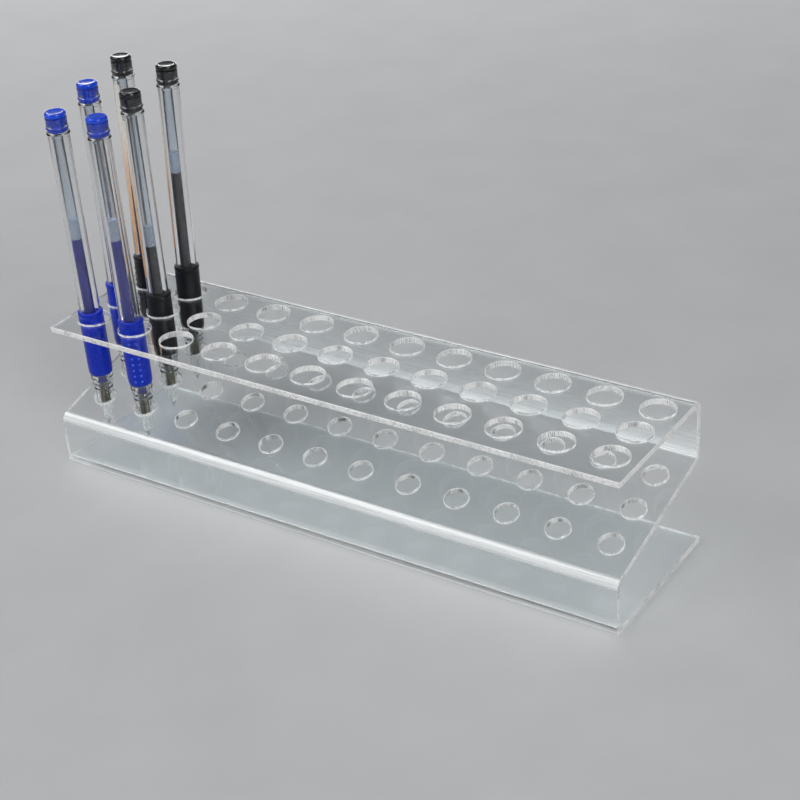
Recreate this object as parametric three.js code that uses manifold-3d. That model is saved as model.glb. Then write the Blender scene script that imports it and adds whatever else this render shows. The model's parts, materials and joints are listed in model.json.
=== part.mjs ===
// A clear acrylic desk rack, bent from one sheet, that holds six capless gel pens.
// Millimetres, +Z up. X runs along the rack, Y from its front wall to its back, Z up from the table.
import * as THREE from 'three';
import { mergeVertices } from 'three/addons/utils/BufferGeometryUtils.js';
import Module from 'manifold-3d';

const wasm = await Module();
wasm.setup();

// ---------------------------------------------------------------- driving dimensions
const rack = {
  length: 300,
  sheet: 2.8,
  height: 73,
  wallDepth: 77, // front wall face to back wall face
  baseDepth: 78.4, // the base reaches a little past the back wall
  shelfFrontEdge: 2.7, // the top shelf stops this far behind the front wall face
  frontHeight: 26.2, // front wall face to lower shelf face, as a sharp corner
  shelfSlope: THREE.MathUtils.degToRad(14.6), // the lower shelf rises towards the back
};
// outer and inner radius of each bend, from the base to the top shelf
const bends = {
  frontFoot: [1.4, 0.5],
  frontTop: [6.4, 3.6],
  rearLow: [5.0, 2.2],
  rearTop: [4.2, 1.4],
};
const holes = {
  columns: 12,
  rows: 3,
  columnPitch: 25,
  rowPitch: 21.1, // along the sheet
  upperRadius: 7.83,
  lowerRadius: 5.48,
  upperFirstRow: 19.9,
  lowerFirstRow: 19.0,
  sides: 14,
};
const pen = {
  length: 162.5,
  outerSides: 14,
  innerSides: 12,
  holeLevel: 16.7, // the lower shelf's upper face crosses the axis here, above the tip
  coneTop: 13,
  coneRadius: 3.5, // at its top
  neckRadius: 4.15,
  neckTop: 20.9, // the ridged part of the nose starts here
  noseTop: 29.3, // the nose meets the grip here
  gripTop: 63,
  barrelRadius: 4.95,
  boreRadius: 4.0,
  tubeRadius: 2.45,
  tubeBore: 2.0,
  tubeStart: 21,
  tubeEnd: 152,
  headThickness: 2.3,
  followerLength: 10,
  play: 0.2, // clearance between neighbouring pieces of a pen
  refillLean: THREE.MathUtils.degToRad(0.4), // the refill leans against one side of its pen
  refillPivot: 13, // it leans about this point, above the tip
  refillPlay: 0.35, // clearance between the refill and the nose section, for its lean
};
// Each pen: its column and row, its lean in degrees towards +X and +Y, its colour,
// and how far above the tip the ink still stands.
const pens = [
  { name: 'a', column: 0, row: 0, leanX: -0.9, leanY: -0.3, colour: 'blue', inkLevel: 100 },
  { name: 'b', column: 1, row: 0, leanX: -2.3, leanY: 1.1, colour: 'blue', inkLevel: 103 },
  { name: 'c', column: 0, row: 1, leanX: -1.7, leanY: 1.5, colour: 'blue', inkLevel: 99 },
  { name: 'd', column: 1, row: 1, leanX: -1.0, leanY: 1.0, colour: 'black', inkLevel: 87 },
  { name: 'e', column: 0, row: 2, leanX: -1.2, leanY: 2.7, colour: 'black', inkLevel: 99 },
  { name: 'f', column: 1, row: 2, leanX: 0.1, leanY: 2.2, colour: 'black', inkLevel: 110 },
];

// ---------------------------------------------------------------- materials
const clearAcrylic = new THREE.MeshStandardMaterial({
  color: 0xeef3f5, roughness: 0.06, metalness: 0, transparent: true, opacity: 0.35,
});
const clearPlastic = new THREE.MeshStandardMaterial({
  color: 0xf2f5f7, roughness: 0.08, metalness: 0, transparent: true, opacity: 0.35,
});
const milkyTube = new THREE.MeshStandardMaterial({
  color: 0xdfe6ea, roughness: 0.3, metalness: 0, transparent: true, opacity: 0.5,
});
const grease = new THREE.MeshStandardMaterial({ color: 0xe6dfc0, roughness: 0.2, metalness: 0 });
const steel = new THREE.MeshStandardMaterial({ color: 0xc9ccd0, roughness: 0.25, metalness: 1 });
const inks = {
  blue: new THREE.MeshStandardMaterial({ color: 0x0a1fb4, roughness: 0.3, metalness: 0 }),
  black: new THREE.MeshStandardMaterial({ color: 0x0b0b0e, roughness: 0.3, metalness: 0 }),
};
const rubbers = {
  blue: new THREE.MeshStandardMaterial({ color: 0x0a22d8, roughness: 0.35, metalness: 0 }),
  black: new THREE.MeshStandardMaterial({ color: 0x121214, roughness: 0.35, metalness: 0 }),
};
const plugs = {
  blue: new THREE.MeshStandardMaterial({ color: 0x0930e6, roughness: 0.15, metalness: 0 }),
  black: new THREE.MeshStandardMaterial({ color: 0x101012, roughness: 0.15, metalness: 0 }),
};

// ---------------------------------------------------------------- solids
function toSolid(geometry) {
  const bare = geometry.clone();
  bare.deleteAttribute('normal');
  bare.deleteAttribute('uv');
  const merged = mergeVertices(bare, 1e-5);
  const mesh = new wasm.Mesh({
    numProp: 3,
    vertProperties: new Float32Array(merged.attributes.position.array),
    triVerts: new Uint32Array(merged.index.array),
  });
  return new wasm.Manifold(mesh);
}

function toGeometry(solid) {
  const mesh = solid.getMesh();
  const geometry = new THREE.BufferGeometry();
  geometry.setAttribute('position', new THREE.BufferAttribute(mesh.vertProperties, 3));
  geometry.setIndex(new THREE.BufferAttribute(mesh.triVerts, 1));
  geometry.computeVertexNormals();
  return geometry;
}

function named(name, geometry, material) {
  const mesh = new THREE.Mesh(geometry, material);
  mesh.name = name;
  return mesh;
}

// ---------------------------------------------------------------- the rack
// The middle line of the sheet, from the base's back edge to the top shelf's front edge.
function sheetPath() {
  const half = rack.sheet / 2;
  const rise = Math.tan(rack.shelfSlope);
  const drop = half / Math.cos(rack.shelfSlope);
  const backY = rack.wallDepth - half;
  const point = (y, z) => new THREE.Vector2(y, z);
  return [
    point(rack.baseDepth, half),
    point(half, half),
    point(half, rack.frontHeight + rise * half - drop),
    point(backY, rack.frontHeight + rise * backY - drop),
    point(backY, rack.height - half),
    point(rack.shelfFrontEdge, rack.height - half),
  ];
}

// The path moved sideways by distance, to its left when that is positive, with sharp corners.
function offsetPath(path, distance) {
  const sides = path.slice(1).map((end, i) => {
    const along = end.clone().sub(path[i]).normalize();
    return { along, left: new THREE.Vector2(-along.y, along.x) };
  });
  return path.map((point, i) => {
    const before = sides[Math.max(i - 1, 0)];
    const after = sides[Math.min(i, sides.length - 1)];
    const mitre = before.left.clone().add(after.left);
    mitre.multiplyScalar(distance / mitre.dot(before.left));
    return point.clone().add(mitre);
  });
}

// Adds an arc of the given radius that rounds the corner between its two neighbours.
function roundCorner(shape, before, corner, after, radius) {
  const back = before.clone().sub(corner).normalize();
  const on = after.clone().sub(corner).normalize();
  const halfAngle = Math.acos(back.dot(on)) / 2;
  const reach = radius / Math.tan(halfAngle);
  const middle = back.clone().add(on).normalize().multiplyScalar(radius / Math.sin(halfAngle));
  const centre = corner.clone().add(middle);
  const start = corner.clone().addScaledVector(back, reach).sub(centre);
  const end = corner.clone().addScaledVector(on, reach).sub(centre);
  const clockwise = back.cross(on) > 0;
  shape.absarc(centre.x, centre.y, radius, start.angle(), end.angle(), clockwise);
}

function sheetOutline() {
  const path = sheetPath();
  const half = rack.sheet / 2;
  const left = offsetPath(path, half);
  const right = offsetPath(path, -half);
  // The path turns right at the first two bends and left at the last two, and a bend's outside
  // is on the side away from its turn.
  const { frontFoot, frontTop, rearLow, rearTop } = bends;
  const leftRadii = [frontFoot[0], frontTop[0], rearLow[1], rearTop[1]];
  const rightRadii = [frontFoot[1], frontTop[1], rearLow[0], rearTop[0]];
  const shape = new THREE.Shape();
  const last = path.length - 1;
  shape.moveTo(right[0].x, right[0].y);
  shape.lineTo(left[0].x, left[0].y);
  for (let i = 1; i < last; i += 1) {
    roundCorner(shape, left[i - 1], left[i], left[i + 1], leftRadii[i - 1]);
  }
  shape.lineTo(left[last].x, left[last].y);
  shape.lineTo(right[last].x, right[last].y);
  for (let i = last - 1; i > 0; i -= 1) {
    roundCorner(shape, right[i + 1], right[i], right[i - 1], rightRadii[i - 1]);
  }
  shape.closePath();
  return shape;
}

// A drill through the sheet at (x, y, z), square to a sheet that slopes by slope.
function drill(radius, x, y, z, slope) {
  const geometry = new THREE.CylinderGeometry(radius, radius, rack.sheet * 3, holes.sides);
  geometry.rotateX(Math.PI / 2 + slope);
  geometry.translate(x, y, z);
  return toSolid(geometry);
}

function columnX(column) {
  return (column - (holes.columns - 1) / 2) * holes.columnPitch;
}

function upperRowY(row) {
  return holes.upperFirstRow + row * holes.rowPitch;
}

function lowerRowY(row) {
  return holes.lowerFirstRow + row * holes.rowPitch * Math.cos(rack.shelfSlope);
}

function lowerShelfZ(y) {
  return rack.frontHeight + Math.tan(rack.shelfSlope) * y;
}

function rackSheet() {
  const sheet = new THREE.ExtrudeGeometry(sheetOutline(), {
    depth: rack.length, bevelEnabled: false, curveSegments: 3,
  });
  // the outline's x and y are the rack's Y and Z, and the extrusion runs along X
  const turn = new THREE.Matrix4().makeBasis(
    new THREE.Vector3(0, 1, 0), new THREE.Vector3(0, 0, 1), new THREE.Vector3(1, 0, 0),
  );
  sheet.applyMatrix4(turn);
  sheet.translate(-rack.length / 2, 0, 0);
  let solid = toSolid(sheet);
  for (let row = 0; row < holes.rows; row += 1) {
    for (let column = 0; column < holes.columns; column += 1) {
      const x = columnX(column);
      const upperZ = rack.height - rack.sheet / 2;
      solid = solid.subtract(drill(holes.upperRadius, x, upperRowY(row), upperZ, 0));
      const y = lowerRowY(row);
      solid = solid.subtract(drill(holes.lowerRadius, x, y, lowerShelfZ(y), rack.shelfSlope));
    }
  }
  return toGeometry(solid);
}

// ---------------------------------------------------------------- the pens
// A turned piece: profile is a list of [radius, height above the tip].
function turned(profile, sides) {
  const points = profile.map(([radius, height]) => new THREE.Vector2(radius, height));
  const geometry = new THREE.LatheGeometry(points, sides);
  geometry.rotateX(Math.PI / 2);
  return geometry;
}

// A hollow turned piece: the outside from bottom to top, then the inside from top to bottom.
function turnedShell(outside, inside, sides = pen.outerSides) {
  return turned([...outside, ...inside, outside[0]], sides);
}

const holderStart = 13.4; // the point's wide holder stands in the neck from here up to the tube
const holderTop = pen.tubeStart + 4; // and plugs into the refill tube up to here
const shankRadius = 1.15;
const barrelTop = pen.length - pen.headThickness - pen.play;

function pointGeometry() {
  return turned([
    [0, 0],
    [0.35, 0.1],
    [0.6, 1.0],
    [shankRadius, 3.2],
    [shankRadius, holderStart],
    [pen.tubeRadius, holderStart],
    [pen.tubeRadius, pen.tubeStart - pen.play],
    [pen.tubeBore - pen.play / 2, pen.tubeStart - pen.play],
    [pen.tubeBore - pen.play / 2, holderTop],
    [0, holderTop],
  ], pen.innerSides);
}

function noseGeometry() {
  const spigotTop = pen.noseTop + 7;
  const spigotRadius = pen.boreRadius - pen.play;
  const outside = [
    [shankRadius + pen.play, 2.9],
    [1.7, 3.0],
    [pen.coneRadius, pen.coneTop],
    [pen.neckRadius, pen.coneTop + 0.5],
    [pen.neckRadius, pen.neckTop],
    [4.5, pen.neckTop + 0.3],
    [4.5, pen.neckTop + 2.6],
    [4.8, pen.neckTop + 3.0],
    [4.8, pen.neckTop + 5.2],
    [5.3, pen.neckTop + 5.7],
    [5.3, pen.noseTop],
    [spigotRadius, pen.noseTop],
    [spigotRadius, spigotTop],
  ];
  const refillBore = pen.tubeRadius + pen.refillPlay;
  const inside = [
    [refillBore, spigotTop],
    [refillBore, holderStart - 0.3],
    [shankRadius + pen.play, holderStart - 0.3],
  ];
  return turnedShell(outside, inside);
}

function gripGeometry() {
  const start = pen.noseTop + pen.play;
  const bore = pen.barrelRadius - 0.55 + pen.play;
  const outside = [
    [5.3, start],
    [5.75, start + 1],
    [5.85, pen.gripTop - 2.4],
    [6.0, pen.gripTop - 2.0],
    [6.0, pen.gripTop - 0.4],
    [5.7, pen.gripTop],
  ];
  return turnedShell(outside, [[bore, pen.gripTop], [bore, start]]);
}

function barrelGeometry() {
  const start = pen.noseTop + pen.play;
  const seatRadius = pen.barrelRadius - 0.55;
  const gripEnd = pen.gripTop + pen.play;
  const ringA = barrelTop - 7.8;
  const ringB = barrelTop - 4.8;
  const outside = [
    [seatRadius, start],
    [seatRadius, gripEnd],
    [pen.barrelRadius, gripEnd],
    [pen.barrelRadius, ringA - 0.5],
    [5.4, ringA],
    [5.4, ringA + 0.5],
    [4.9, ringA + 1.2],
    [4.9, ringB - 0.4],
    [5.2, ringB],
    [4.9, ringB + 0.5],
    [5.05, barrelTop - 0.4],
    [4.9, barrelTop],
  ];
  return turnedShell(outside, [[pen.boreRadius, barrelTop], [pen.boreRadius, start]]);
}

function plugGeometry() {
  const stemRadius = pen.boreRadius - pen.play / 2;
  const headStart = pen.length - pen.headThickness;
  const stemStart = headStart - 7.4;
  return turned([
    [0, stemStart],
    [stemRadius - 0.3, stemStart],
    [stemRadius, stemStart + 0.6],
    [stemRadius, headStart],
    [4.9, headStart],
    [4.95, pen.length - 0.8],
    [4.3, pen.length],
    [0, pen.length - 0.3],
  ], pen.outerSides);
}

function tubeGeometry() {
  const outside = [[pen.tubeRadius, pen.tubeStart], [pen.tubeRadius, pen.tubeEnd]];
  const inside = [[pen.tubeBore, pen.tubeEnd], [pen.tubeBore, pen.tubeStart]];
  return turnedShell(outside, inside, pen.innerSides);
}

function fillGeometry(start, end) {
  const radius = pen.tubeBore - pen.play / 2;
  return turned([[0, start], [radius, start], [radius, end], [0, end]], pen.innerSides);
}

function penGroup({ name, column, row, leanX, leanY, colour, inkLevel }) {
  const inkStart = holderTop + pen.play;
  const followerStart = inkLevel + pen.play;
  const followerEnd = followerStart + pen.followerLength;
  const refill = new THREE.Group();
  refill.add(
    named(`pen_${name}_refill_tube`, tubeGeometry(), milkyTube),
    named(`pen_${name}_point`, pointGeometry(), steel),
    named(`pen_${name}_ink`, fillGeometry(inkStart, inkLevel), inks[colour]),
    named(`pen_${name}_follower`, fillGeometry(followerStart, followerEnd), grease),
  );
  const pivot = new THREE.Vector3(0, 0, pen.refillPivot);
  refill.rotateY(-pen.refillLean);
  refill.position.copy(pivot).sub(pivot.clone().applyQuaternion(refill.quaternion));
  const group = new THREE.Group();
  group.add(
    named(`pen_${name}_barrel`, barrelGeometry(), clearPlastic),
    named(`pen_${name}_nose_section`, noseGeometry(), clearPlastic),
    named(`pen_${name}_grip`, gripGeometry(), rubbers[colour]),
    named(`pen_${name}_end_plug`, plugGeometry(), plugs[colour]),
    refill,
  );
  const y = lowerRowY(row);
  const holeCentre = new THREE.Vector3(columnX(column), y, lowerShelfZ(y));
  const slopeX = Math.tan(THREE.MathUtils.degToRad(leanX));
  const slopeY = Math.tan(THREE.MathUtils.degToRad(leanY));
  const along = new THREE.Vector3(slopeX, slopeY, 1).normalize();
  group.quaternion.setFromUnitVectors(new THREE.Vector3(0, 0, 1), along);
  group.position.copy(holeCentre).addScaledVector(along, -pen.holeLevel);
  return group;
}

// ---------------------------------------------------------------- the set
const penRack = new THREE.Group();
penRack.add(named('rack_sheet', rackSheet(), clearAcrylic));
pens.forEach((each) => penRack.add(penGroup(each)));
// the origin is the middle of the base, at the table
penRack.position.y = -rack.baseDepth / 2;
penRack.updateMatrixWorld(true);

export default penRack;
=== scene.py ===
"""A clear acrylic rack, bent from one sheet, with six capless gel pens in its first two columns.

The lengths of the rack and the pens are in millimetres, and MM turns them into metres.
The rack's outline and the pens' axes come from the frame, and the rest from the named sizes below.
"""

import json
import math

import bmesh
import bpy
from mathutils import Matrix, Vector


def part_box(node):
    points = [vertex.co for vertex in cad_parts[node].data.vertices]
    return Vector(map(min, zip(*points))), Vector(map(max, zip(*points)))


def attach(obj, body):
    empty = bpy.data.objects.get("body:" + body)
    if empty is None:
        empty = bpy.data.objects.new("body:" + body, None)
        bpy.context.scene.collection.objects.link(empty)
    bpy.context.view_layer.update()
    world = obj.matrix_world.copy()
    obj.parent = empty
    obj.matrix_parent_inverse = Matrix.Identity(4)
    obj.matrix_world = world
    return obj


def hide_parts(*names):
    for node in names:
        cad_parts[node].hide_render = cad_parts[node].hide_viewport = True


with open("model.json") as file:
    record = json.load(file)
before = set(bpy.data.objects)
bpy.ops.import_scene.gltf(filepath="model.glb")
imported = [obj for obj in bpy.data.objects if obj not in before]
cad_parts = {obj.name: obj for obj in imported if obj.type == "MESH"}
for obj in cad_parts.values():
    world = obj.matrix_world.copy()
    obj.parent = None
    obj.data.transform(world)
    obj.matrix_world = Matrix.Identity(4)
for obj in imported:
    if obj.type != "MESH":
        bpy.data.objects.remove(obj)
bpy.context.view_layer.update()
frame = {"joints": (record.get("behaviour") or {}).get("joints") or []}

MM = 0.001

# ---------------------------------------------------------------- sizes, the same as the CAD's
SHEET = 2.8  # thickness of the acrylic
WALL_DEPTH = 77.0  # front wall face to back wall face
FRONT_HEIGHT = 26.2  # front wall to lower shelf, as a sharp corner
SLOPE = math.radians(14.6)  # of the lower shelf
SHELF_FRONT = 2.7  # the top shelf's front edge, behind the front wall face
BENDS = ((1.4, 0.5), (6.4, 3.6), (5.0, 2.2), (4.2, 1.4))  # outer and inner radius, base to top
COLUMNS = 12
ROWS = 3
COLUMN_PITCH = 25.0
ROW_PITCH = 21.1
UPPER_RADIUS = 7.83
LOWER_RADIUS = 5.48
UPPER_FIRST_ROW = 19.9
LOWER_FIRST_ROW = 19.0

PEN_LENGTH = 162.5
HOLE_LEVEL = 16.7  # the lower shelf's upper face crosses the pen's axis here, above the tip
CONE_TOP = 13.0
CONE_RADIUS = 3.5  # at its top
HOLDER_START = 13.4  # the point's wide holder fills the neck from here up
NECK_RADIUS = 4.15
NECK_TOP = 20.9  # the ridged part of the nose starts here
TUBE_START = 21.0
TUBE_END = 152.0
NOSE_TOP = 29.3
GRIP_TOP = 63.0
BARREL_RADIUS = 4.95
BORE_RADIUS = 4.0
TUBE_RADIUS = 2.45
TUBE_BORE = 2.0
HEAD = 2.3
PLAY = 0.2
REFILL_LEAN = math.radians(0.4)
REFILL_PIVOT = 13.0
REFILL_PLAY = 0.35
FOLLOWER_LENGTH = 10.0
FOIL_WIDTH = 3.6
FOIL_CLEARANCE = 10.5  # the foil stops this far below the barrel's open end
DOT_RADIUS = 5.8  # the grip's surface, where the dots stand on it
DOT_COLUMNS = 2
DOT_ROWS = 9
DOT_PITCH = 3.0
FIRST_DOT = NOSE_TOP + 3.2
CONTACT = 0.03  # what touches the inside of a clear wall reaches this far into it, so no air shows between

# ---------------------------------------------------------------- how fine the meshes are
HOLE_SIDES = 48  # a multiple of 4
BEND_STEPS = 14
TURN_SIDES = 72
EDGE_BREAK = 0.22  # the small chamfer along every cut edge
SUPPORT = 0.35  # a line of vertices this far before each bend keeps the flats flat
HIGHLIGHT_REACH = (1.4, 2.3, 1.9, 3.0)  # how far from each bend's sharp corner the painted highlight is at full strength
HIGHLIGHT_FADES = (4.5, 1.6, 1.4, 2.6)  # and how far past that the painted highlight fades out

rack_low, rack_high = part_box("rack_sheet")
LENGTH = (rack_high.x - rack_low.x) / MM
BASE_DEPTH = (rack_high.y - rack_low.y) / MM
HEIGHT = rack_high.z / MM
Y_SHIFT = -BASE_DEPTH / 2  # the CAD's Y starts at the front wall, the row's at the middle


# ---------------------------------------------------------------- node helpers
class Nodes:
    """A material's node tree, with short ways to add and join nodes."""

    def __init__(self, name):
        self.material = bpy.data.materials.new(name)
        self.material.use_nodes = True
        self.tree = self.material.node_tree
        self.tree.nodes.clear()
        self.output = self.add("ShaderNodeOutputMaterial")

    def add(self, kind, **values):
        node = self.tree.nodes.new(kind)
        for key, value in values.items():
            setattr(node, key, value)
        return node

    def join(self, source, target):
        self.tree.links.new(source, target)

    def coordinates(self, scale=(1, 1, 1)):
        """Object coordinates in millimetres, stretched by scale."""
        coordinate = self.add("ShaderNodeTexCoord")
        mapping = self.add("ShaderNodeMapping")
        mapping.inputs["Scale"].default_value = [s / MM for s in scale]
        self.join(coordinate.outputs["Object"], mapping.inputs["Vector"])
        return mapping.outputs["Vector"]

    def noise(self, scale, stretch=(1, 1, 1), detail=3.0, roughness=0.5):
        """Noise with features about 1 / scale mm across."""
        noise = self.add("ShaderNodeTexNoise")
        noise.inputs["Scale"].default_value = scale
        noise.inputs["Detail"].default_value = detail
        noise.inputs["Roughness"].default_value = roughness
        self.join(self.coordinates(stretch), noise.inputs["Vector"])
        return noise.outputs["Fac"]

    def ramp(self, value, stops):
        """A colour ramp: stops are (position, grey or colour)."""
        ramp = self.add("ShaderNodeValToRGB")
        elements = ramp.color_ramp.elements
        while len(elements) < len(stops):
            elements.new(0.5)
        for element, (position, colour) in zip(elements, stops):
            if isinstance(colour, (int, float)):
                colour = (colour, colour, colour)
            element.position = position
            element.color = (*colour, 1.0)
        self.join(value, ramp.inputs["Fac"])
        return ramp.outputs["Color"]

    def bump(self, height, strength, distance):
        bump = self.add("ShaderNodeBump")
        bump.inputs["Strength"].default_value = strength
        bump.inputs["Distance"].default_value = distance * MM
        self.join(height, bump.inputs["Height"])
        return bump.outputs["Normal"]

    def blend(self, share, first, second):
        """First where share is 0, second where it is 1."""
        mix = self.add("ShaderNodeMix", data_type="RGBA")
        self.join(share, mix.inputs["Factor"])
        self.join(first, mix.inputs["A"])
        self.join(second, mix.inputs["B"])
        return mix.outputs["Result"]

    def scaled(self, share, amount, start):
        """Start, less amount where share is 1."""
        product = self.add("ShaderNodeMath", operation="MULTIPLY")
        self.join(share, product.inputs[0])
        self.join(amount, product.inputs[1])
        rest = self.add("ShaderNodeMath", operation="SUBTRACT")
        rest.inputs[0].default_value = start
        self.join(product.outputs[0], rest.inputs[1])
        return rest.outputs[0]

    def principled(self, **values):
        shader = self.add("ShaderNodeBsdfPrincipled")
        for key, value in values.items():
            shader.inputs[key.replace("_", " ").title().replace("Ior", "IOR")].default_value = value
        return shader

    def finish(self, shader):
        self.join(shader.outputs[0], self.output.inputs["Surface"])
        return self.material

    def finish_clear(self, shader, shade):
        """Light from the lamps passes straight through, dimmed to shade, so the shadow is a pale one."""
        path = self.add("ShaderNodeLightPath")
        through = self.add("ShaderNodeBsdfTransparent")
        through.inputs["Color"].default_value = (*shade, 1.0)
        mix = self.add("ShaderNodeMixShader")
        self.join(path.outputs["Is Shadow Ray"], mix.inputs["Fac"])
        self.join(shader.outputs[0], mix.inputs[1])
        self.join(through.outputs[0], mix.inputs[2])
        return self.finish(mix)


# ---------------------------------------------------------------- materials
def acrylic_face():
    """Polished acrylic with rubbed patches and hairlines, made whitish and lined along each bend as a
    painted highlight.
    """
    n = Nodes("acrylic_face")
    shader = n.principled(base_color=(0.935, 0.952, 0.957, 1), ior=1.49)
    # the band along each bend is a painted highlight: less transmission and more roughness turn the sheet
    # white there
    painted_highlight = n.add("ShaderNodeAttribute", attribute_name="painted_highlight").outputs["Fac"]
    lines = n.noise(1.2, stretch=(0.02, 1.5, 1.5), detail=5.0)
    highlight_whitening = n.ramp(lines, ((0.35, 0.62), (0.65, 0.92)))
    n.join(n.scaled(painted_highlight, highlight_whitening, start=1.0), shader.inputs["Transmission Weight"])
    rubbed = n.ramp(n.noise(0.05, detail=5.0, roughness=0.6), ((0.45, 0.008), (0.75, 0.05)))
    n.join(n.blend(painted_highlight, rubbed, n.ramp(lines, ((0.35, 0.12), (0.7, 0.3)))), shader.inputs["Roughness"])
    scratches = n.noise(0.9, stretch=(0.06, 1.6, 1.6), detail=6.0, roughness=0.75)
    fine = n.ramp(scratches, ((0.60, 0.0), (0.68, 1.0)))
    n.join(n.bump(n.blend(painted_highlight, fine, lines), 0.06, 0.03), shader.inputs["Normal"])
    return n.finish_clear(shader, (0.79, 0.805, 0.81))


def acrylic_cut(name, stretch, patch_stretch, cloudiest, clearest):
    """A sawn or drilled face: satin and whitish, with the tool's streaks and clearer patches between."""
    n = Nodes(name)
    shader = n.principled(ior=1.49)
    streaks = n.noise(2.2, stretch=stretch, detail=6.0, roughness=0.7)
    patches = n.noise(0.22, stretch=patch_stretch, detail=4.0, roughness=0.6)
    n.join(
        n.ramp(streaks, ((0.3, (0.72, 0.73, 0.72)), (0.6, (1.0, 1.0, 0.995)))), shader.inputs["Base Color"]
    )
    n.join(n.ramp(patches, ((0.42, cloudiest), (0.62, clearest))), shader.inputs["Transmission Weight"])
    n.join(n.ramp(streaks, ((0.3, 0.15), (0.7, 0.45))), shader.inputs["Roughness"])
    n.join(n.bump(streaks, 0.35, 0.06), shader.inputs["Normal"])
    return n.finish_clear(shader, (0.7, 0.72, 0.72))


def clear_plastic():
    """Moulded polystyrene of the barrels and nose sections."""
    n = Nodes("clear_plastic")
    shader = n.principled(
        base_color=(0.985, 0.99, 1.0, 1), transmission_weight=1.0, ior=1.5, roughness=0.03
    )
    wear = n.noise(0.25, stretch=(1, 1, 0.25), detail=5.0)
    n.join(n.ramp(wear, ((0.4, 0.01), (0.75, 0.08))), shader.inputs["Roughness"])
    flow = n.noise(0.6, stretch=(1, 1, 0.12), detail=3.0)
    n.join(n.bump(flow, 0.08, 0.03), shader.inputs["Normal"])
    return n.finish_clear(shader, (0.93, 0.94, 0.95))


def hazy_highlit_plastic():
    """The nose's cone, whitish: partly hazy plastic, partly a painted highlight."""
    n = Nodes("hazy_highlit_plastic")
    shader = n.principled(base_color=(0.93, 0.94, 0.94, 1), ior=1.5)
    drawn = n.noise(0.7, stretch=(1, 1, 0.15), detail=4.0)
    # low transmission turns the cone white: partly its haze, partly a painted highlight
    n.join(n.ramp(drawn, ((0.35, 0.35), (0.65, 0.8))), shader.inputs["Transmission Weight"])
    n.join(n.ramp(drawn, ((0.3, 0.18), (0.7, 0.36))), shader.inputs["Roughness"])
    n.join(n.bump(drawn, 0.1, 0.03), shader.inputs["Normal"])
    return n.finish_clear(shader, (0.8, 0.82, 0.82))


def holder_plastic():
    """The point's holder: dark olive, with paler lines drawn along it."""
    n = Nodes("holder_plastic")
    shader = n.principled(ior=1.5)
    drawn = n.noise(0.9, stretch=(1, 1, 0.06), detail=5.0, roughness=0.6)
    tone = n.ramp(drawn, ((0.45, (0.022, 0.021, 0.013)), (0.7, (0.20, 0.19, 0.12))))
    n.join(tone, shader.inputs["Base Color"])
    n.join(n.ramp(drawn, ((0.3, 0.18), (0.7, 0.34))), shader.inputs["Roughness"])
    return n.finish(shader)


def milky_tube():
    """The refill's polypropylene tube."""
    n = Nodes("milky_tube")
    shader = n.principled(transmission_weight=0.99, ior=1.45)
    cloud = n.noise(0.5, stretch=(1, 1, 0.2), detail=4.0)
    n.join(
        n.ramp(cloud, ((0.3, (0.80, 0.86, 0.92)), (0.7, (0.90, 0.93, 0.96)))),
        shader.inputs["Base Color"],
    )
    n.join(n.ramp(cloud, ((0.3, 0.05), (0.7, 0.12))), shader.inputs["Roughness"])
    return n.finish_clear(shader, (0.86, 0.88, 0.9))


def grease():
    n = Nodes("grease")
    shader = n.principled(
        base_color=(0.52, 0.58, 0.68, 1), transmission_weight=0.55, ior=1.46, roughness=0.15
    )
    cloud = n.noise(0.8, detail=4.0)
    n.join(
        n.ramp(cloud, ((0.3, (0.42, 0.49, 0.60)), (0.7, (0.60, 0.66, 0.74)))),
        shader.inputs["Base Color"],
    )
    return n.finish(shader)


def ink(name, thin, thick):
    """Gel ink: deep, wet, and a little paler where it clings to the wall."""
    n = Nodes(name)
    shader = n.principled(roughness=0.35, ior=1.33, specular_ior_level=0.1)
    cling = n.noise(0.45, stretch=(1, 1, 0.15), detail=5.0, roughness=0.65)
    n.join(n.ramp(cling, ((0.35, thick), (0.8, thin))), shader.inputs["Base Color"])
    return n.finish(shader)


def rubber(name, dark, light):
    """Soft rubber of a grip: satin, faintly mottled, with handling shine."""
    n = Nodes(name)
    shader = n.principled(ior=1.5, specular_ior_level=0.3, sheen_weight=0.03, sheen_roughness=0.4)
    mottle = n.noise(0.6, detail=6.0, roughness=0.6)
    n.join(n.ramp(mottle, ((0.3, dark), (0.7, light))), shader.inputs["Base Color"])
    shine = n.noise(0.15, detail=3.0)
    n.join(n.ramp(shine, ((0.35, 0.28), (0.7, 0.46))), shader.inputs["Roughness"])
    grain = n.noise(9.0, detail=2.0)
    n.join(n.bump(grain, 0.25, 0.03), shader.inputs["Normal"])
    return n.finish(shader)


def plug_plastic(name, dark, light):
    """Glossy moulded plastic of the end plugs."""
    n = Nodes(name)
    shader = n.principled(ior=1.5, coat_weight=0.3, coat_roughness=0.06)
    tone = n.noise(0.4, detail=4.0)
    n.join(n.ramp(tone, ((0.3, dark), (0.7, light))), shader.inputs["Base Color"])
    n.join(n.ramp(tone, ((0.3, 0.12), (0.7, 0.26))), shader.inputs["Roughness"])
    skin = n.noise(2.5, detail=3.0)
    n.join(n.bump(skin, 0.06, 0.03), shader.inputs["Normal"])
    return n.finish(shader)


def turned_metal():
    n = Nodes("turned_metal")
    shader = n.principled(base_color=(0.72, 0.72, 0.71, 1), metallic=1.0)
    rings = n.noise(3.0, stretch=(0.2, 0.2, 4.0), detail=4.0)
    tone = n.ramp(rings, ((0.3, (0.58, 0.58, 0.57)), (0.7, (0.86, 0.86, 0.85))))
    n.join(tone, shader.inputs["Base Color"])
    n.join(n.ramp(rings, ((0.3, 0.12), (0.7, 0.32))), shader.inputs["Roughness"])
    return n.finish(shader)


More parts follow.
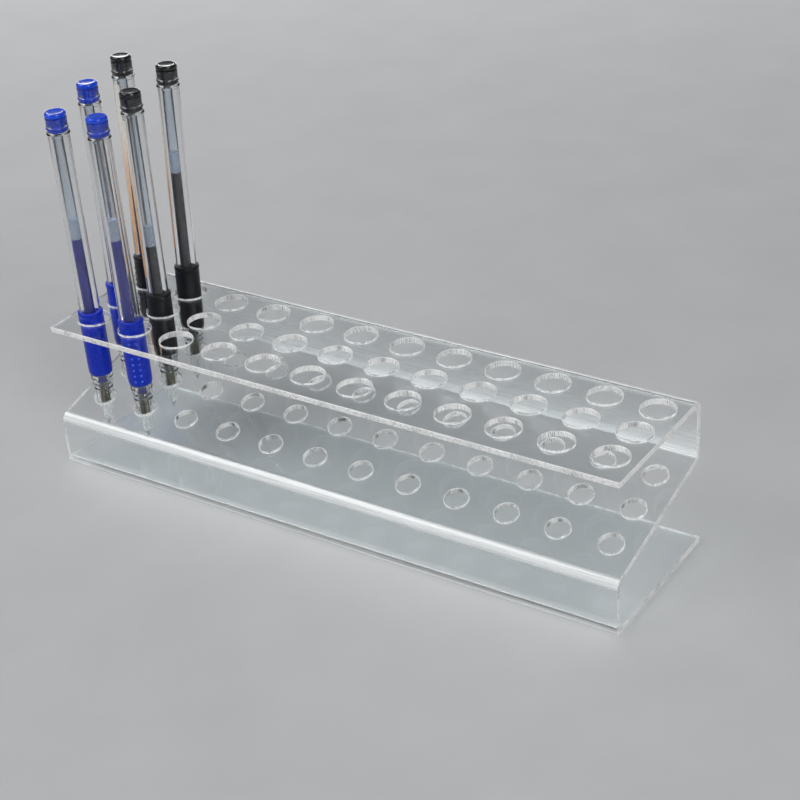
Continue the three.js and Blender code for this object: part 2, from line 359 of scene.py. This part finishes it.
def foil():
    """Hot-stamped foil: a plain stripe that goes from silver to copper down the barrel."""
    n = Nodes("foil")
    shader = n.principled(metallic=0.6)
    coordinate = n.add("ShaderNodeTexCoord")
    split = n.add("ShaderNodeSeparateXYZ")
    n.join(coordinate.outputs["Object"], split.inputs["Vector"])
    copper_end, silver_end = 85 * MM, 175 * MM  # heights above the table
    height = n.add("ShaderNodeMapRange")
    height.inputs["From Min"].default_value = copper_end
    height.inputs["From Max"].default_value = silver_end
    n.join(split.outputs["Z"], height.inputs["Value"])
    n.join(
        n.ramp(
            height.outputs["Result"],
            ((0.0, (0.78, 0.40, 0.20)), (0.5, (0.92, 0.62, 0.42)), (0.8, (1.0, 0.96, 0.88))),
        ),
        shader.inputs["Base Color"],
    )
    worn = n.noise(0.8, stretch=(1, 1, 0.1), detail=3.0)
    n.join(n.ramp(worn, ((0.3, 0.26), (0.7, 0.36))), shader.inputs["Roughness"])
    return n.finish(shader)


def floor_paper():
    n = Nodes("floor_paper")
    shader = n.principled(roughness=0.6, specular_ior_level=0.3)
    tooth = n.noise(0.02, detail=4.0)
    tone = n.ramp(tooth, ((0.3, (0.53, 0.535, 0.54)), (0.7, (0.56, 0.565, 0.57))))
    n.join(tone, shader.inputs["Base Color"])
    return n.finish(shader)


MATERIALS = {
    "face": acrylic_face(),
    "edge": acrylic_cut("acrylic_edge", (0.35, 1.0, 1.0), (0.8, 0.5, 0.5), 0.04, 0.42),
    "drilled": acrylic_cut(
        "acrylic_drilled", (1.4, 1.4, 0.12), (1.2, 1.2, 0.3), 0.08, 0.85
    ),
    "clear": clear_plastic(),
    "hazy_highlit": hazy_highlit_plastic(),
    "holder": holder_plastic(),
    "tube": milky_tube(),
    "grease": grease(),
    "metal": turned_metal(),
    "foil": foil(),
    "ink_blue": ink("ink_blue", (0.008, 0.012, 0.30), (0.002, 0.003, 0.11)),
    "ink_black": ink("ink_black", (0.009, 0.009, 0.014), (0.002, 0.002, 0.003)),
    "rubber_blue": rubber("rubber_blue", (0.002, 0.014, 0.37), (0.004, 0.036, 0.54)),
    "rubber_black": rubber("rubber_black", (0.004, 0.004, 0.005), (0.012, 0.012, 0.014)),
    "plug_blue": plug_plastic("plug_blue", (0.0, 0.045, 0.62), (0.005, 0.09, 0.85)),
    # the dots are a lighter colour than their grip's rubber: a painted highlight on each dot
    "dots_blue": plug_plastic("dots_blue", (0.02, 0.09, 0.78), (0.05, 0.16, 0.95)),
    "dots_black": plug_plastic("dots_black", (0.02, 0.02, 0.022), (0.04, 0.04, 0.043)),
    # the stems are a darker copy of their plugs' plastic: painted shade where the stem sits inside the
    # barrel
    "stem_blue": plug_plastic("stem_blue", (0.0, 0.02, 0.34), (0.002, 0.045, 0.5)),
    "stem_black": plug_plastic("stem_black", (0.003, 0.003, 0.004), (0.009, 0.009, 0.010)),
    "plug_black": plug_plastic("plug_black", (0.004, 0.004, 0.005), (0.012, 0.012, 0.013)),
}


# ---------------------------------------------------------------- mesh helpers
def sharpen(mesh, degrees=30):
    """Smooth shading, with every edge sharper than this kept sharp."""
    work = bmesh.new()
    work.from_mesh(mesh)
    for face in work.faces:
        face.smooth = True
    for edge in work.edges:
        sharp = len(edge.link_faces) == 2 and edge.calc_face_angle(0) > math.radians(degrees)
        edge.smooth = not sharp
    work.to_mesh(mesh)
    work.free()


def piece(name, mesh, materials, node, body):
    """A finished piece that stands for a CAD node and rides on its body."""
    obj = bpy.data.objects.new(name, mesh)
    bpy.context.scene.collection.objects.link(obj)
    for material in materials:
        mesh.materials.append(MATERIALS[material])
    if node is not None:
        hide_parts(node)
    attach(obj, body)
    return obj


# ---------------------------------------------------------------- the rack
def sheet_corners():
    """The sheet's middle line as sharp corners, from the base's back edge to the top shelf's front."""
    half = SHEET / 2
    rise = math.tan(SLOPE)
    drop = half / math.cos(SLOPE)
    back = WALL_DEPTH - half
    return [
        Vector((BASE_DEPTH, half)),
        Vector((half, half)),
        Vector((half, FRONT_HEIGHT + rise * half - drop)),
        Vector((back, FRONT_HEIGHT + rise * back - drop)),
        Vector((back, HEIGHT - half)),
        Vector((SHELF_FRONT, HEIGHT - half)),
    ]


def left_of(direction):
    return Vector((-direction.y, direction.x))


def offset_corners(corners, distance):
    """The corners of the same path moved to its left by distance."""
    sides = [(b - a).normalized() for a, b in zip(corners, corners[1:])]
    moved = []
    for i, corner in enumerate(corners):
        before = left_of(sides[max(i - 1, 0)])
        after = left_of(sides[min(i, len(sides) - 1)])
        mitre = before + after
        moved.append(corner + mitre * (distance / mitre.dot(before)))
    return moved


def arc(before, corner, after, radius, steps):
    """Points of the arc that rounds a corner."""
    back = (before - corner).normalized()
    on = (after - corner).normalized()
    half_angle = back.angle(on) / 2
    centre = corner + (back + on).normalized() * (radius / math.sin(half_angle))
    start = corner + back * (radius / math.tan(half_angle)) - centre
    turn = math.pi - 2 * half_angle
    if back.x * on.y - back.y * on.x > 0:
        turn = -turn
    points = []
    for step in range(steps + 1):
        angle = turn * step / steps
        cos, sin = math.cos(angle), math.sin(angle)
        points.append(centre + Vector((start.x * cos - start.y * sin, start.x * sin + start.y * cos)))
    return points


def stations():
    """Cross-sections of the sheet along its path: (left point, right point, what follows).

    What follows is "flat", or the name of a shelf whose holes fill the stretch to the next station."""
    middle = sheet_corners()
    left = offset_corners(middle, SHEET / 2)
    right = offset_corners(middle, -SHEET / 2)
    # the first two bends have their outside on the path's left, and the last two on its right
    radii = [BENDS[0], BENDS[1], BENDS[2][::-1], BENDS[3][::-1]]
    rows = [(left[0], right[0], "flat")]
    for i in range(1, 5):
        steps = 6 if i == 1 else BEND_STEPS
        left_arc = arc(left[i - 1], left[i], left[i + 1], radii[i - 1][0], steps)
        right_arc = arc(right[i - 1], right[i], right[i + 1], radii[i - 1][1], steps)
        into = (middle[i] - middle[i - 1]).normalized()
        out = (middle[i + 1] - middle[i]).normalized()
        if i == 3:
            rows += hole_stretch("lower", middle[2], into)
        # vertex lines where the painted bend highlight ends, and support lines next to each bend
        for reach in (HIGHLIGHT_FADES[i - 1], SUPPORT):
            rows.append((left_arc[0] - into * reach, right_arc[0] - into * reach, "flat"))
        rows += [(a, b, "flat") for a, b in zip(left_arc[:-1], right_arc[:-1])]
        rows.append((left_arc[-1], right_arc[-1], "flat"))
        for reach in (SUPPORT, HIGHLIGHT_FADES[i - 1]):
            rows.append((left_arc[-1] + out * reach, right_arc[-1] + out * reach, "flat"))
    # the last hole row ends less than a support line after the top bend, so there both lines are dropped
    del rows[-2:]
    rows += hole_stretch("upper", middle[4], (middle[5] - middle[4]).normalized())
    rows.append((left[5], right[5], "end"))
    return rows


def column_x(column):
    return (column - (COLUMNS - 1) / 2) * COLUMN_PITCH


def hole_rows(shelf):
    """Y of each hole row's centre on the shelf's upper face, in the order that the path meets them."""
    if shelf == "lower":
        return [LOWER_FIRST_ROW + row * ROW_PITCH * math.cos(SLOPE) for row in range(ROWS)]
    return [UPPER_FIRST_ROW + row * ROW_PITCH for row in reversed(range(ROWS))]


def shelf_point(shelf, y):
    """Where the shelf's upper face is, above y."""
    z = FRONT_HEIGHT + math.tan(SLOPE) * y if shelf == "lower" else HEIGHT
    return Vector((y, z))


def hole_stretch(shelf, start, along):
    """The two stations round a shelf's hole rows."""
    normal = left_of(along)
    # the lower shelf's upper face is on the path's left, and the top shelf's on its right
    upper_is_left = shelf == "lower"
    depth = -SHEET if upper_is_left else SHEET
    rows = [shelf_point(shelf, y) for y in hole_rows(shelf)]
    first = rows[0] - along * ROW_PITCH / 2
    last = rows[-1] + along * ROW_PITCH / 2
    pairs = []
    for point, kind in ((first, shelf), (last, "flat")):
        other = point + normal * depth
        pairs.append((point, other, kind) if upper_is_left else (other, point, kind))
    return pairs


def square_ring(half_width, half_length, count):
    """Points round a rectangle, evenly spaced on each side, from its low corner, anticlockwise."""
    per_side = count // 4
    corners = [(-1, -1), (1, -1), (1, 1), (-1, 1)]
    ring = []
    for i, (a, b) in enumerate(corners):
        c, d = corners[(i + 1) % 4]
        for step in range(per_side):
            t = step / per_side
            ring.append(((a + (c - a) * t) * half_width, (b + (d - b) * t) * half_length))
    return ring


def round_ring(radius, count):
    """Points round a circle that match square_ring's."""
    start = -3 * math.pi / 4
    angles = (start + 2 * math.pi * i / count for i in range(count))
    return [(radius * math.cos(a), radius * math.sin(a)) for a in angles]


class SheetMesh:
    """Collects the rack's faces, welding vertices that coincide."""

    def __init__(self):
        self.work = bmesh.new()
        self.seen = {}

    def vertex(self, x, point):
        place = (round(x, 3), round(point.x, 3), round(point.y, 3))
        if place not in self.seen:
            at = Vector((x, point.x + Y_SHIFT, point.y)) * MM
            self.seen[place] = self.work.verts.new(at)
        return self.seen[place]

    def face(self, corners, material):
        verts = list(dict.fromkeys(corners))
        if len(verts) < 3:
            return
        self.work.faces.new(verts).material_index = material


FACE, EDGE, DRILLED = range(3)


def column_lines():
    """X of every line of vertices along the rack."""
    per_cell = HOLE_SIDES // 4
    count = COLUMNS * per_cell
    return [-LENGTH / 2 + LENGTH * i / count for i in range(count + 1)]


def plain_strip(sheet, before, after, material, lines):
    """Both faces of the sheet between two stations."""
    for x0, x1 in zip(lines, lines[1:]):
        for side in (0, 1):
            corners = [
                sheet.vertex(x0, before[side]),
                sheet.vertex(x1, before[side]),
                sheet.vertex(x1, after[side]),
                sheet.vertex(x0, after[side]),
            ]
            sheet.face(corners, material)


def hole_cells(sheet, before, after, shelf):
    """Both faces of the sheet between two stations, with a hole in the middle of each cell."""
    radius = LOWER_RADIUS if shelf == "lower" else UPPER_RADIUS
    along = (after[0] - before[0]).normalized()
    outer = square_ring(COLUMN_PITCH / 2, ROW_PITCH / 2, HOLE_SIDES)
    # a ring of vertices outside the hole keeps the edge break even
    collar = round_ring(radius + 0.8, HOLE_SIDES)
    inner = round_ring(radius, HOLE_SIDES)
    for row in range(ROWS):
        for column in range(COLUMNS):
            centre_x = column_x(column)
            rims = []
            for side in (0, 1):
                centre = before[side] + along * ROW_PITCH * (row + 0.5)

                def ring(shape):
                    return [sheet.vertex(centre_x + a, centre + along * b) for a, b in shape]

                rings = [ring(outer), ring(collar), ring(inner)]
                for first, second in zip(rings, rings[1:]):
                    join_rings(sheet, first, second, FACE)
                rims.append(rings[-1])
            join_rings(sheet, rims[0], rims[1], DRILLED)


def join_rings(sheet, first, second, material):
    for i in range(len(first)):
        j = (i + 1) % len(first)
        sheet.face([first[i], first[j], second[j], second[i]], material)


def end_faces(sheet, rows):
    """The sawn ends of the rack, and the sawn edges of its base and top shelf."""
    for x in (-LENGTH / 2, LENGTH / 2):
        for before, after in zip(rows, rows[1:]):
            steps = ROWS * HOLE_SIDES // 4 if before[2] in ("lower", "upper") else 1
            for step in range(steps):
                t0, t1 = step / steps, (step + 1) / steps
                corners = [
                    sheet.vertex(x, before[0].lerp(after[0], t0)),
                    sheet.vertex(x, before[0].lerp(after[0], t1)),
                    sheet.vertex(x, before[1].lerp(after[1], t1)),
                    sheet.vertex(x, before[1].lerp(after[1], t0)),
                ]
                sheet.face(corners, EDGE)
    lines = column_lines()
    for row in (rows[0], rows[-1]):
        for x0, x1 in zip(lines, lines[1:]):
            corners = [
                sheet.vertex(x0, row[0]),
                sheet.vertex(x1, row[0]),
                sheet.vertex(x1, row[1]),
                sheet.vertex(x0, row[1]),
            ]
            sheet.face(corners, EDGE)


def rack():
    sheet = SheetMesh()
    rows = stations()
    lines = column_lines()
    for before, after in zip(rows, rows[1:]):
        if before[2] in ("lower", "upper"):
            hole_cells(sheet, before, after, before[2])
        else:
            plain_strip(sheet, before, after, FACE, lines)
    end_faces(sheet, rows)
    work = sheet.work
    bmesh.ops.recalc_face_normals(work, faces=work.faces)
    cut = [
        e for e in work.edges
        if len(e.link_faces) == 2 and e.calc_face_angle(0) > math.radians(60)
        and any(f.material_index in (EDGE, DRILLED) for f in e.link_faces)
    ]
    bmesh.ops.bevel(
        work, geom=cut, offset=EDGE_BREAK * MM, segments=1, profile=0.5, affect="EDGES", material=EDGE
    )
    mesh = bpy.data.meshes.new("rack_sheet_fine")
    work.to_mesh(mesh)
    work.free()
    sharpen(mesh, 20)
    # each vertex stores how strong the painted bend highlight is there
    painted_highlight = mesh.attributes.new("painted_highlight", "FLOAT", "POINT")
    painted_highlight.data.foreach_set("value", [painted_highlight_at(v.co) for v in mesh.vertices])
    return piece("rack_sheet_fine", mesh, ("face", "edge", "drilled"), "rack_sheet", "rack")


def painted_highlight_at(place):
    """How strong the painted bend highlight is at a vertex, from 0 to 1."""
    y, z = place.y / MM - Y_SHIFT, place.z / MM
    if z > HEIGHT - SHEET - 0.1 and y < WALL_DEPTH - BENDS[3][0] - 0.1:
        return 0.0  # the top shelf gets no painted highlight, right up to its bend
    rear_low_z = FRONT_HEIGHT + math.tan(SLOPE) * WALL_DEPTH
    corners = ((0, 0), (0, FRONT_HEIGHT), (WALL_DEPTH, rear_low_z), (WALL_DEPTH, HEIGHT))
    values = []
    for (corner_y, corner_z), reach, fade in zip(corners, HIGHLIGHT_REACH, HIGHLIGHT_FADES):
        away = math.hypot(y - corner_y, z - corner_z)
        values.append(1 - (away - reach) / fade)
    return min(max(0.0, *values), 1.0)


rack()


# ---------------------------------------------------------------- the pens
def rounded(profile, radius=0.12, steps=2):
    """The profile with each corner cut to a short curve, except its two ends."""
    points = [Vector(p) for p in profile]
    result = [points[0]]
    for before, corner, after in zip(points, points[1:], points[2:]):
        reach = min(radius, (before - corner).length * 0.4, (after - corner).length * 0.4)
        start = corner + (before - corner).normalized() * reach
        end = corner + (after - corner).normalized() * reach
        for step in range(steps + 1):
            t = step / steps
            result.append(start.lerp(corner, t).lerp(corner.lerp(end, t), t))
    result.append(points[-1])
    return result


def turned(name, profile, closed, sides=TURN_SIDES, dots=None):
    """A mesh turned about Z from (radius, height) points.

    A closed profile makes a ring, and an open one ends on the axis.
    """
    work = bmesh.new()
    loops = []
    for radius, height in profile:
        if radius < 1e-6:
            loops.append([work.verts.new((0, 0, height))])
            continue
        angles = [2 * math.pi * i / sides for i in range(sides)]
        loops.append([work.verts.new((radius * math.cos(a), radius * math.sin(a), height)) for a in angles])
    pairs = list(zip(loops, loops[1:]))
    if closed:
        pairs.append((loops[-1], loops[0]))
    for lower, upper in pairs:
        for i in range(sides):
            j = (i + 1) % sides
            below = [lower[i % len(lower)], lower[j % len(lower)]]
            above = [upper[j % len(upper)], upper[i % len(upper)]]
            corners = list(dict.fromkeys(below + above))
            if len(corners) > 2:
                work.faces.new(corners)
    bmesh.ops.recalc_face_normals(work, faces=work.faces)
    if dots:
        add_dots(work, *dots)
    mesh = bpy.data.meshes.new(name)
    work.to_mesh(mesh)
    work.free()
    return mesh


def add_dots(work, radius, columns, rows, pitch, start, facing):
    """Low domes in a patch on a sleeve, centred on the angle that faces facing."""
    dome, rise, spread = 0.62, 0.36, math.radians(32)
    dome_faces = []
    for column in range(columns):
        angle = facing + (column - (columns - 1) / 2) * spread
        out = Vector((math.cos(angle), math.sin(angle), 0))
        across = Vector((-math.sin(angle), math.cos(angle), 0))
        up = Vector((0, 0, 1))
        for row in range(rows):
            centre = out * (radius - 0.08) + up * (start + row * pitch)
            rings = []
            for level in range(4):
                tilt = math.pi / 2 * level / 4
                flat = dome * math.cos(tilt)
                high = (rise + 0.08) * math.sin(tilt)
                middle = centre + out * high
                rings.append([
                    work.verts.new(middle + across * flat * math.cos(t) + up * flat * math.sin(t))
                    for t in (2 * math.pi * k / 12 for k in range(12))
                ])
            top = work.verts.new(centre + out * (rise + 0.08))
            for first, second in zip(rings, rings[1:]):
                for k in range(12):
                    j = (k + 1) % 12
                    dome_faces.append(work.faces.new([first[k], first[j], second[j], second[k]]))
            for k in range(12):
                dome_faces.append(work.faces.new([rings[-1][k], rings[-1][(k + 1) % 12], top]))
            work.faces.new(list(reversed(rings[0])))
    # the domes take the grip's second material, whose lighter colour is a painted highlight on each dot
    for face in dome_faces:
        face.material_index = 1


POINT_TOP = TUBE_START + 4
BARREL_TOP = PEN_LENGTH - HEAD - PLAY
SHANK = 1.15


def barrel_profile():
    start = NOSE_TOP + PLAY
    seat = BARREL_RADIUS - 0.55
    ring_a = BARREL_TOP - 7.8
    ring_b = BARREL_TOP - 4.8
    outside = [
        (seat, start),
        (seat, GRIP_TOP + PLAY),
        (BARREL_RADIUS, GRIP_TOP + PLAY),
        (BARREL_RADIUS, ring_a - 0.9),
        (5.36, ring_a - 0.3),
        (5.45, ring_a + 0.3),
        (5.1, ring_a + 0.9),
        (4.88, ring_a + 1.2),
        (4.88, ring_b - 0.7),
        (5.24, ring_b - 0.3),
        (5.24, ring_b + 0.2),
        (4.88, ring_b + 0.7),
        (4.9, BARREL_TOP - 1.0),
        (5.04, BARREL_TOP - 0.6),
        (5.0, BARREL_TOP - 0.1),
        (4.85, BARREL_TOP),
    ]
    inside = [(BORE_RADIUS, BARREL_TOP), (BORE_RADIUS, start)]
    return closed_shell(outside, inside)


def closed_shell(outside, inside):
    """A closed outline with softened corners."""
    whole = outside + inside
    looped = [whole[-1]] + whole + [whole[0]]
    return rounded(looped)[1:-1]


def nose_profile():
    spigot_top = NOSE_TOP + 7
    spigot = BORE_RADIUS - PLAY
    outside = [
        (SHANK + PLAY, 2.9),
        (1.6, 2.95),
        (1.75, 3.3),
        (2.45, 7.0),
        (CONE_RADIUS - 0.15, 12.0),
        (CONE_RADIUS, CONE_TOP),
        (NECK_RADIUS, CONE_TOP + 0.5),
        (NECK_RADIUS, NECK_TOP - 0.2),
        (4.45, NECK_TOP + 0.2),
        (4.55, NECK_TOP + 0.8),
        (4.3, NECK_TOP + 1.3),
        (4.3, NECK_TOP + 2.0),
        (4.75, NECK_TOP + 2.8),
        (4.85, NECK_TOP + 3.4),
        (4.55, NECK_TOP + 4.0),
        (4.55, NECK_TOP + 4.8),
        (5.15, NECK_TOP + 5.7),
        (5.3, NECK_TOP + 6.4),
        (5.2, NECK_TOP + 7.2),
        (5.3, NOSE_TOP),
        (spigot, NOSE_TOP),
        (spigot, spigot_top),
    ]
    bore = TUBE_RADIUS + REFILL_PLAY
    inside = [(bore, spigot_top), (bore, HOLDER_START - 0.3), (SHANK + PLAY, HOLDER_START - 0.3)]
    return closed_shell(outside, inside)


def grip_profile():
    start = NOSE_TOP + PLAY
    bore = BARREL_RADIUS - 0.55 + PLAY
    outside = [
        (5.1, start),
        (5.45, start + 0.4),
        (5.7, start + 1.4),
        (5.78, start + 4.0),
        (5.82, GRIP_TOP - 3.4),
        (5.72, GRIP_TOP - 2.7),
        (5.76, GRIP_TOP - 2.3),
        (5.98, GRIP_TOP - 1.9),
        (6.0, GRIP_TOP - 0.9),
        (5.85, GRIP_TOP - 0.2),
        (5.5, GRIP_TOP),
    ]
    return closed_shell(outside, [(bore, GRIP_TOP), (bore, start)])


def plug_profile():
    stem = BORE_RADIUS + CONTACT
    head_start = PEN_LENGTH - HEAD
    stem_start = head_start - 7.4
    profile = [
        (0, stem_start + 1.5),
        (stem - 1.2, stem_start + 1.4),
        (stem - 1.0, stem_start),
        (stem - 0.35, stem_start),
        (stem, stem_start + 0.8),
        (stem, stem_start + 2.2),
        (stem - 0.3, stem_start + 2.5),
        (stem - 0.3, stem_start + 3.9),
        (stem, stem_start + 4.2),
        (stem, head_start),
        (4.7, head_start),
        (4.92, head_start + 0.3),
        (4.94, PEN_LENGTH - 0.9),
        (4.75, PEN_LENGTH - 0.35),
        (4.3, PEN_LENGTH - 0.05),
        (3.7, PEN_LENGTH - 0.05),
        (3.2, PEN_LENGTH - 0.3),
        (0, PEN_LENGTH - 0.42),
    ]
    return rounded(profile, 0.2, 3)


def tube_profile():
    outside = [(TUBE_RADIUS, TUBE_START), (TUBE_RADIUS, TUBE_END)]
    return closed_shell(outside, [(TUBE_BORE, TUBE_END), (TUBE_BORE, TUBE_START)])


def point_profile():
    plug = TUBE_BORE - PLAY / 2
    profile = [
        (0, 0),
        (0.22, 0.06),
        (0.35, 0.28),
        (0.33, 0.42),
        (0.42, 0.62),
        (0.62, 1.1),
        (1.02, 2.5),
        (SHANK, 2.9),
        (SHANK, HOLDER_START),
        (TUBE_RADIUS, HOLDER_START),
        (TUBE_RADIUS, TUBE_START - PLAY),
        (plug, TUBE_START - PLAY),
        (plug, POINT_TOP),
        (0, POINT_TOP),
    ]
    return rounded(profile, 0.08, 2)


def fill_profile(start, end, dish_low, dish_high):
    """A column of liquid whose two ends are menisci, dish_low and dish_high deep."""
    radius = TUBE_BORE + CONTACT
    steps = 5
    shares = [i / steps for i in range(steps + 1)]
    low = [(radius * share, start + dish_low * (1 - share**2)) for share in shares]
    high = [(radius * share, end - dish_high * (1 - share**2)) for share in reversed(shares)]
    return [Vector(p) for p in low + high]


def stripe_mesh(name, facing, width, start, end):
    """A thin curved patch on the outside of the barrel, narrower towards its lower end."""
    work = bmesh.new()
    across, along = 10, 40
    radius = BARREL_RADIUS + 0.03
    half = width / radius / 2
    narrowest = 0.55
    skins = []
    for depth in (0.0, 0.05):
        skin = []
        for i in range(along + 1):
            height = start + (end - start) * i / along
            row = []
            for j in range(across + 1):
                share = narrowest + (1 - narrowest) * i / along
                angle = facing + share * half * (2 * j / across - 1)
                r = radius + depth
                row.append(work.verts.new((r * math.cos(angle), r * math.sin(angle), height)))
            skin.append(row)
        skins.append(skin)
    for skin in skins:
        for low, high in zip(skin, skin[1:]):
            for j in range(across):
                work.faces.new([low[j], low[j + 1], high[j + 1], high[j]])
    inner, outer = skins
    rim_in = inner[0] + [r[-1] for r in inner[1:]] + inner[-1][-2::-1] + [r[0] for r in inner[-2:0:-1]]
    rim_out = outer[0] + [r[-1] for r in outer[1:]] + outer[-1][-2::-1] + [r[0] for r in outer[-2:0:-1]]
    for i in range(len(rim_in)):
        j = (i + 1) % len(rim_in)
        work.faces.new([rim_in[i], rim_in[j], rim_out[j], rim_out[i]])
    bmesh.ops.recalc_face_normals(work, faces=work.faces)
    mesh = bpy.data.meshes.new(name)
    work.to_mesh(mesh)
    work.free()
    return mesh


# Each pen: column, row, colour, height of the ink above the tip, the side its grip's dots face, and its
# foil stripe's side and lower end above the tip (None where it has none). Sides are degrees from +X.
PENS = {
    "a": (0, 0, "blue", 100, 150, None),
    "b": (1, 0, "blue", 103, -54, None),
    "c": (0, 1, "blue", 99, 60, (-4, 74)),
    "d": (1, 1, "black", 87, 100, (-118, 72)),
    "e": (0, 2, "black", 99, -118, (-96, 65)),
    "f": (1, 2, "black", 110, 190, (-140, 72)),
}


REFILL = ("refill_tube", "point", "ink", "follower")


def pen_matrix(name, column, row):
    """From a pen's own millimetres, tip at the origin and axis up, to the row frame."""
    joint = next(j for j in frame["joints"] if j["name"] == f"pen_{name}_lift")
    axis = Vector(joint["axis"]).normalized()
    hole = shelf_point("lower", hole_rows("lower")[row])
    centre = Vector((column_x(column), hole.x + Y_SHIFT, hole.y))
    turn = Vector((0, 0, 1)).rotation_difference(axis).to_matrix().to_4x4()
    return Matrix.Scale(MM, 4) @ Matrix.Translation(centre - axis * HOLE_LEVEL) @ turn


def recolour(mesh, low, high):
    """Gives the second material to what lies between two heights above the tip."""
    for face in mesh.polygons:
        if low <= face.center.z <= high:
            face.material_index = 1


def build_pen(name, column, row, colour, ink_level, dots_side, stripe):
    place = pen_matrix(name, column, row)
    pivot = Matrix.Translation((0, 0, REFILL_PIVOT))
    lean = pivot @ Matrix.Rotation(-REFILL_LEAN, 4, "Y") @ pivot.inverted()
    body = f"pen_{name}"
    dots = (DOT_RADIUS, DOT_COLUMNS, DOT_ROWS, DOT_PITCH, FIRST_DOT, math.radians(dots_side))
    follower = ink_level + PLAY
    ink_column = fill_profile(POINT_TOP + PLAY, ink_level, 0, 0.3)
    grease_column = fill_profile(follower, follower + FOLLOWER_LENGTH, -0.3, 0.7)
    parts = (
        ("barrel", barrel_profile(), True, "clear", "clear_plastic", None),
        ("nose_section", nose_profile(), True, "clear", "clear_plastic", None),
        ("grip", grip_profile(), True, f"rubber_{colour}", f"rubber_{colour}", dots),
        ("end_plug", plug_profile(), False, f"plug_{colour}", f"plug_{colour}", None),
        ("refill_tube", tube_profile(), True, "tube", "milky_tube", None),
        ("point", point_profile(), False, "metal", "steel", None),
        ("ink", ink_column, False, f"ink_{colour}", f"ink_{colour}", None),
        ("follower", grease_column, False, "grease", "grease", None),
    )
    # a part's second material, and the heights between which it shows, or None where the mesh already has it
    seconds = {
        # the cone gets the whitish material, partly haze and partly a painted highlight
        "nose_section": ("hazy_highlit", (0, CONE_TOP)),
        # the grip's dots get their lighter colour, a painted highlight
        "grip": (f"dots_{colour}", None),
        # the plug's stem, inside the barrel, gets the darker colour as painted shade
        "end_plug": (f"stem_{colour}", (0, PEN_LENGTH - HEAD - 0.1)),
        "point": ("holder", (HOLDER_START - 0.1, PEN_LENGTH)),
    }
    for part, profile, closed, material, slot, dotted in parts:
        mesh = turned(f"{body}_{part}_fine", profile, closed, dots=dotted)
        materials = (material,)
        if part in seconds:
            second, heights = seconds[part]
            if heights:
                recolour(mesh, *heights)
            materials = (material, second)
        mesh.transform(place @ lean if part in REFILL else place)
        sharpen(mesh, 40)
        piece(f"{body}_{part}_fine", mesh, materials, f"{body}_{part}", body)
    if stripe:
        side, lower = stripe
        upper = BARREL_TOP - FOIL_CLEARANCE
        mesh = stripe_mesh(f"{body}_foil", math.radians(side), FOIL_WIDTH, lower, upper)
        mesh.transform(place)
        sharpen(mesh, 40)
        piece(f"{body}_foil", mesh, ("foil",), None, body)


for pen_name, facts in PENS.items():
    build_pen(pen_name, *facts)


# ---------------------------------------------------------------- floor, light and camera
def studio():
    bpy.ops.mesh.primitive_plane_add(size=14, location=(0, 0, -0.0003))
    floor = bpy.context.object
    floor.name = "floor"
    floor.data.materials.append(floor_paper())

    world = bpy.data.worlds.new("studio")
    world.use_nodes = True
    background = world.node_tree.nodes["Background"]
    background.inputs["Color"].default_value = (0.80, 0.82, 0.85, 1)
    background.inputs["Strength"].default_value = 0.22
    bpy.context.scene.world = world
    bpy.context.scene.view_settings.view_transform = "Standard"

    lamps = (
        ("key", (-0.9, -0.75, 1.25), 0.9, 0.7, 13),
        ("front_right", (1.2, -0.7, 0.9), 0.7, 0.7, 11),
        ("back_strip", (-0.75, 1.2, 0.32), 1.6, 0.22, 6),
    )
    for name, place, width, height, power in lamps:
        data = bpy.data.lights.new(name, "AREA")
        data.shape = "RECTANGLE"
        data.size = width
        data.size_y = height
        data.energy = power
        lamp = bpy.data.objects.new(name, data)
        lamp.visible_transmission = False  # lamplight already comes through as shadow rays
        bpy.context.scene.collection.objects.link(lamp)
        lamp.location = place
        aim = Vector((0, 0, 0.06)) - Vector(place)
        lamp.rotation_euler = aim.to_track_quat("-Z", "Y").to_euler()


def camera():
    """The camera stands to the front right and looks down at the rack."""
    place = Vector((434.6, -587.4, 466.1)) * MM
    yaw, pitch, roll = (math.radians(a) for a in (-35.05, -29.57, -4.15))
    forward = Vector((math.sin(yaw) * math.cos(pitch), math.cos(yaw) * math.cos(pitch), math.sin(pitch)))
    right = Vector((math.cos(yaw), -math.sin(yaw), 0))
    up = right.cross(forward)
    level_right = right * math.cos(roll) + up * math.sin(roll)
    level_up = up * math.cos(roll) - right * math.sin(roll)
    data = bpy.data.cameras.new("camera")
    data.sensor_width = 36
    data.lens = 83.74
    data.clip_end = 30
    view = bpy.data.objects.new("camera", data)
    bpy.context.scene.collection.objects.link(view)
    turn = Matrix((level_right, level_up, -forward)).transposed().to_4x4()
    view.matrix_world = Matrix.Translation(place) @ turn
    bpy.context.scene.camera = view


studio()
camera()
